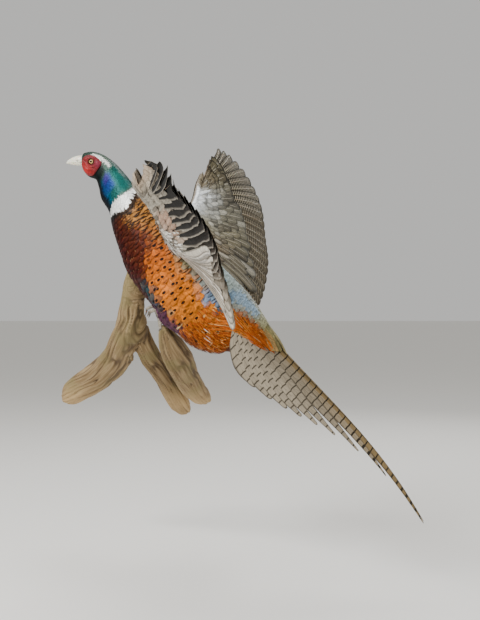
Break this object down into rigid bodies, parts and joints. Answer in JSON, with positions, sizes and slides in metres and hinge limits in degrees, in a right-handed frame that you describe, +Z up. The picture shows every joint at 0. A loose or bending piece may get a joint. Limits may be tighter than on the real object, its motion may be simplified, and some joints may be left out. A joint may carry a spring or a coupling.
{
  "type": "taxidermy pheasant",
  "caption": "Mounted cock ring-necked pheasant with wings raised and long barred tail, climbing from a forked piece of driftwood that hangs on a wall by its flat back.",
  "frame": {"origin": "middle of the driftwood's sawn flat back, where it lies against the wall", "axes": "+Z up, +Y into the wall, and the bird climbs towards -X and +Z with its back rolled away from the wall"},
  "size_m": [0.6719, 0.7472, 0.6796],
  "materials": {
    "iridescent_feathers": "glossy green-blue to violet sheen",
    "body_feathers": "satin, copper and gold with dark tips",
    "rump_feathers": "soft matte, pale blue-grey",
    "wing_feathers": "matte, barred brown and silver grey",
    "tail_feathers": "matte, buff with black bars",
    "face_skin": "matt, pebbled",
    "horn": "semi-gloss ivory horn",
    "glass_eye": "polished",
    "leg_scales": "satin, scaled",
    "driftwood": "weathered, dry"
  },
  "bodies": {
    "root": {"head": "iridescent_feathers", "neck": "iridescent_feathers", "trunk": "body_feathers", "rump": "rump_feathers", "bill_upper": "horn", "bill_lower": "horn", "eye_left": "glass_eye", "face_skin_left": "face_skin", "wing_left_arm": "wing_feathers", "wing_left_primaries": "wing_feathers", "wing_left_secondaries": "wing_feathers", "tail_left": "tail_feathers", "thigh_left": "body_feathers", "shank_left": "leg_scales", "foot_left": "leg_scales", "eye_right": "glass_eye", "face_skin_right": "face_skin", "wing_right_arm": "wing_feathers", "wing_right_primaries": "wing_feathers", "wing_right_secondaries": "wing_feathers", "tail_right": "tail_feathers", "thigh_right": "body_feathers", "shank_right": "leg_scales", "foot_right": "leg_scales", "driftwood_crown": "driftwood", "driftwood_left_limb": "driftwood", "driftwood_middle_limb": "driftwood", "driftwood_right_limb": "driftwood", "driftwood_wall_stub": "driftwood"}
  },
  "joints": []
}
